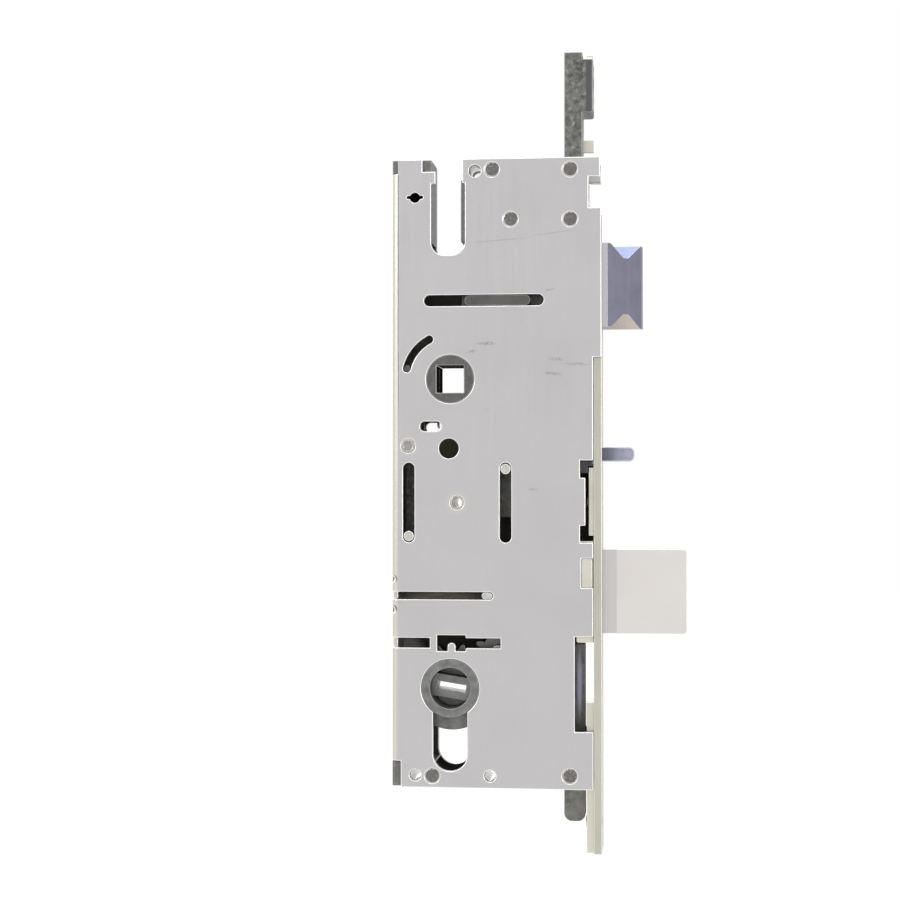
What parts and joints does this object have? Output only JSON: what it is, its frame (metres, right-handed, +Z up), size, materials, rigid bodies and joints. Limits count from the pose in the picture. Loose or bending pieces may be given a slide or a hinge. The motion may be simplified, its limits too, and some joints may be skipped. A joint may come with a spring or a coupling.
{
  "type": "multipoint door lock",
  "caption": "Centre gearbox of a multipoint door lock: slim steel case with sprung latch, flat deadbolt, trigger, spindle follower, cylinder cam and drive slides.",
  "frame": {"origin": "spindle axis at the middle of the case's thickness", "axes": "+X to the front of the faceplate, +Z up, +Y out of the back plate, so the cover is at -Y"},
  "size_m": [0.0875, 0.017, 0.2378],
  "materials": {
    "case_zinc": "zinc plated sheet, satin",
    "face_steel": "brushed, lightly handled",
    "strip_steel": "bright zinc plate",
    "screw_zinc": "yellowed zinc plate",
    "rivet_grey": "staked, dull",
    "spacer_grey": "sintered, dull",
    "housing_black": "moulded",
    "guide_bright": "bright",
    "slide_phosphate": "phosphated steel",
    "gear_steel": "hardened, dull",
    "follower_cast": "die cast",
    "cam_cast": "die cast, oiled",
    "latch_nickel": "nickel plated, satin",
    "bolt_satin": "nickel plated, satin",
    "spring_wire": "drawn wire"
  },
  "bodies": {
    "case": {"cover_plate": "case_zinc", "back_plate": "case_zinc", "faceplate": "face_steel", "backing_strip": "strip_steel", "screw_anchor_plate": "strip_steel", "faceplate_screws": "screw_zinc", "case_rivets": "rivet_grey", "top_rear_spacer": "spacer_grey", "top_front_spacer": "spacer_grey", "bottom_spacer": "spacer_grey", "front_foot_spacer": "spacer_grey", "slide_guide_rail": "spacer_grey", "latch_spring_bracket": "spacer_grey", "trigger_housing": "housing_black", "deadbolt_guide": "guide_bright", "pinion_post": "guide_bright", "idler_post": "guide_bright", "spring_post": "guide_bright", "latch_spring": "spring_wire", "trigger_spring": "spring_wire", "latch_follower_spring": "spring_wire", "lift_follower_spring": "spring_wire"},
    "upper_slide": {"upper_slide": "slide_phosphate", "slide_screws": "screw_zinc", "slide_clip_spring": "strip_steel", "upper_guide_pin": "guide_bright"},
    "lower_slide": {"lower_slide": "slide_phosphate", "lower_guide_pin": "guide_bright"},
    "reversing_pinion": {"reversing_pinion": "gear_steel"},
    "lift_follower": {"lift_follower": "follower_cast", "follower_stop_pin": "guide_bright", "lift_drive_pin": "guide_bright"},
    "latch_follower": {"latch_follower": "follower_cast"},
    "latch": {"latch_head": "latch_nickel", "latch_tail": "gear_steel"},
    "deadbolt": {"deadbolt": "bolt_satin", "deadbolt_guide_lug": "guide_bright"},
    "idler": {"idler_pinion": "gear_steel"},
    "cam": {"cam_gear": "cam_cast", "cylinder_cam": "cam_cast"},
    "trigger": {"trigger": "latch_nickel"}
  },
  "joints": [
    {"name": "upper_slide_travel", "type": "slide", "parent": "case", "child": "upper_slide", "axis": [0, 0, 1], "range_m": [0, 0.02], "stiffness_N_per_m": 150, "springref_m": -0.012},
    {"name": "lower_slide_travel", "type": "slide", "parent": "case", "child": "lower_slide", "axis": [0, 0, -1], "range_m": [0, 0.02]},
    {"name": "reversing_pinion_turn", "type": "hinge", "parent": "case", "child": "reversing_pinion", "pos_m": [0.00205, 0, -0.0368], "axis": [0, 1, 0], "range_deg": [-0.1, 114.7]},
    {"name": "handle_lift", "type": "hinge", "parent": "case", "child": "lift_follower", "pos_m": [0, 0, 0], "axis": [0, 1, 0], "range_deg": [-0.1, 48.1], "deforming": ["lift_follower_spring"]},
    {"name": "latch_travel", "type": "slide", "parent": "case", "child": "latch", "axis": [-1, 0, 0], "range_m": [0, 0.012], "stiffness_N_per_m": 600, "springref_m": -0.01, "deforming": ["latch_spring"]},
    {"name": "handle_down", "type": "hinge", "parent": "case", "child": "latch_follower", "pos_m": [0, 0, 0], "axis": [0, -1, 0], "range_deg": [-0.1, 43.7], "deforming": ["latch_follower_spring"]},
    {"name": "deadbolt_travel", "type": "slide", "parent": "case", "child": "deadbolt", "axis": [-1, 0, 0], "range_m": [0, 0.025]},
    {"name": "idler_turn", "type": "hinge", "parent": "case", "child": "idler", "pos_m": [0.01404, 0, -0.08074], "axis": [0, -1, 0], "range_deg": [-0.1, 238.9]},
    {"name": "key_turn", "type": "hinge", "parent": "case", "child": "cam", "pos_m": [0, 0, -0.092], "axis": [0, 1, 0], "range_deg": [-0.1, 119.5]},
    {"name": "trigger_travel", "type": "slide", "parent": "case", "child": "trigger", "axis": [-1, 0, 0], "range_m": [0, 0.0095], "stiffness_N_per_m": 300, "springref_m": -0.006, "deforming": ["trigger_spring"]}
  ],
  "couplings": [
    {"joint": "lower_slide_travel", "follows": "upper_slide_travel", "ratio": 1},
    {"joint": "reversing_pinion_turn", "follows": "upper_slide_travel", "rad_per_m": 100},
    {"joint": "handle_lift", "follows": "upper_slide_travel", "rad_per_m": 41.888},
    {"joint": "handle_down", "follows": "latch_travel", "rad_per_m": 63.414},
    {"joint": "idler_turn", "follows": "deadbolt_travel", "rad_per_m": 166.67},
    {"joint": "key_turn", "follows": "deadbolt_travel", "rad_per_m": 83.333}
  ]
}
